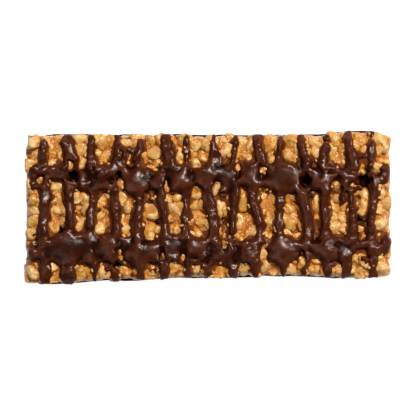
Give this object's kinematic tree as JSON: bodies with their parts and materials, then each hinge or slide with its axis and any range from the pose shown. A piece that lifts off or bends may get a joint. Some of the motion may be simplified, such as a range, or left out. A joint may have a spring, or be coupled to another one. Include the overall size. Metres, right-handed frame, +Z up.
{
  "type": "protein bar",
  "caption": "Flat rectangular protein bar of puffed crisps on a thin chocolate coat, drizzled across with thick chocolate.",
  "frame": {"origin": "centre of the bar's outline, at the underside that it rests on", "axes": "+X along the bar's length, +Y across it towards the back long edge (the top edge in the picture), +Z up through the drizzled top"},
  "size_m": [0.1002, 0.042, 0.0169],
  "materials": {
    "crisps": "syrup-glazed puffed crisps with glossy dark chocolate drizzle fused on",
    "chocolate": "set dark chocolate, soft gloss"
  },
  "bodies": {
    "root": {"crisp_bar": "crisps", "chocolate_base": "chocolate"}
  },
  "joints": []
}
